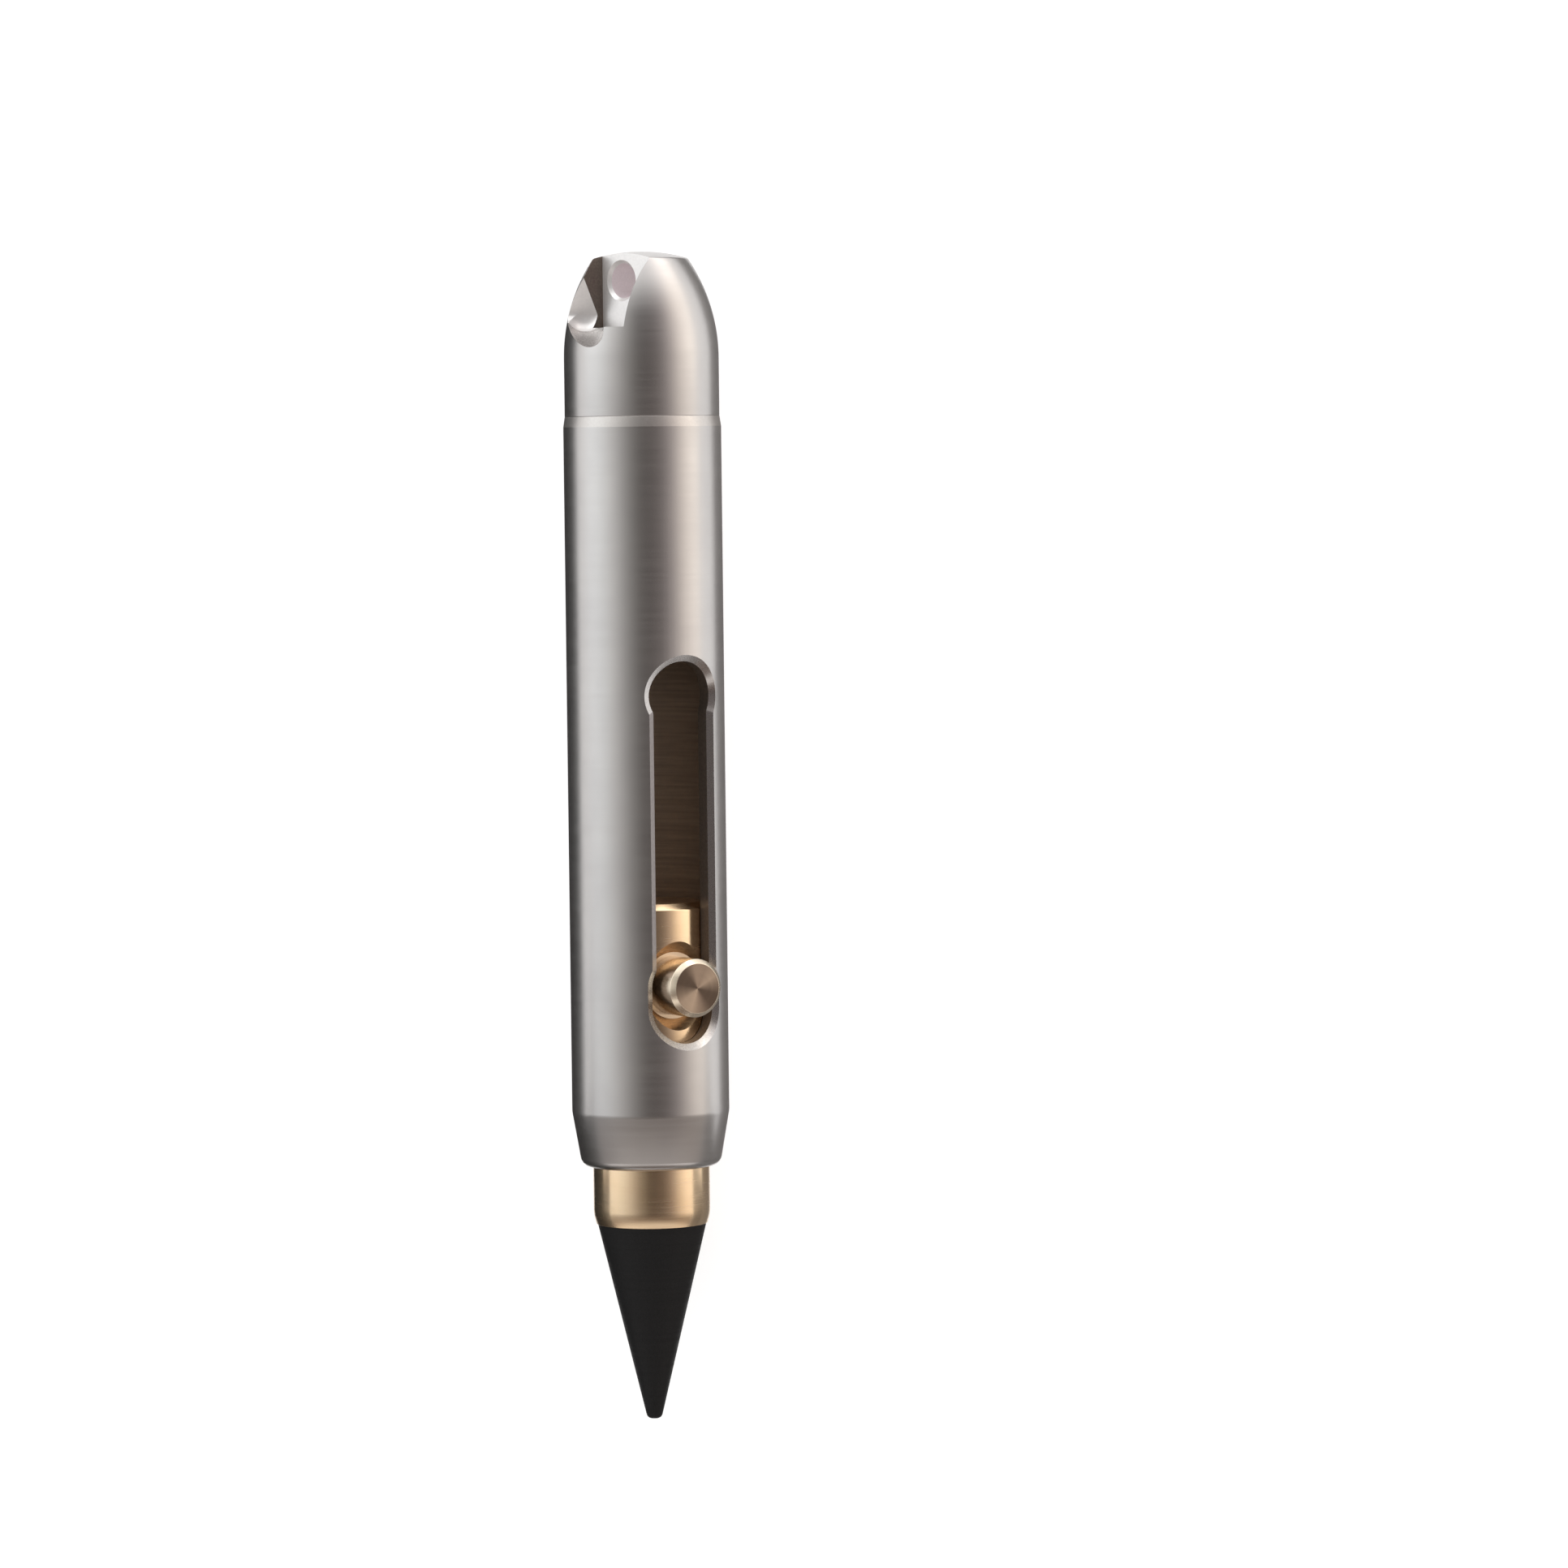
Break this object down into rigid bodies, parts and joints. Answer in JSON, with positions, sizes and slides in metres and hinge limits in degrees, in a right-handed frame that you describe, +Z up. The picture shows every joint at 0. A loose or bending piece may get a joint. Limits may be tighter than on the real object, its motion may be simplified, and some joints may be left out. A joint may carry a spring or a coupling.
{
  "type": "pocket pencil",
  "caption": "Round metal pocket pencil with a sliding side bolt that pushes out or stows its black screw-in nib, and a ring hole in the domed tail.",
  "frame": {"origin": "on the desk under the middle of the pencil's whole length, with the tip out for writing", "axes": "+X along the pencil to the ring end, the writing tip to -X, +Z up from the desk; the bolt leans from +Z towards -Y"},
  "size_m": [0.0742, 0.01, 0.0109],
  "materials": {
    "titanium": "fine turned and satin blasted titanium grey",
    "brass": "turned bright brass",
    "rubber": "matte black nitrile",
    "graphite": "matte black graphite alloy"
  },
  "bodies": {
    "barrel": {"barrel": "titanium", "tail_cap": "titanium"},
    "drag_rings": {"front_drag_ring": "rubber", "rear_drag_ring": "rubber"},
    "carriage": {"carriage": "brass", "bolt_knob": "brass"},
    "nib": {"nib_insert": "brass", "nib_cone": "graphite"}
  },
  "joints": [
    {"name": "bolt_slide", "type": "slide", "parent": "barrel", "child": "drag_rings", "axis": [1, 0, 0], "range_m": [-0.0014, 0.01835]},
    {"name": "bolt_turn", "type": "hinge", "parent": "drag_rings", "child": "carriage", "pos_m": [0, 0, 0.005], "axis": [1, 0, 0], "range_deg": [-3.6, 3.6]},
    {"name": "nib_draw", "type": "slide", "parent": "carriage", "child": "nib", "axis": [-1, 0, 0], "range_m": [0, 0.0095]}
  ]
}
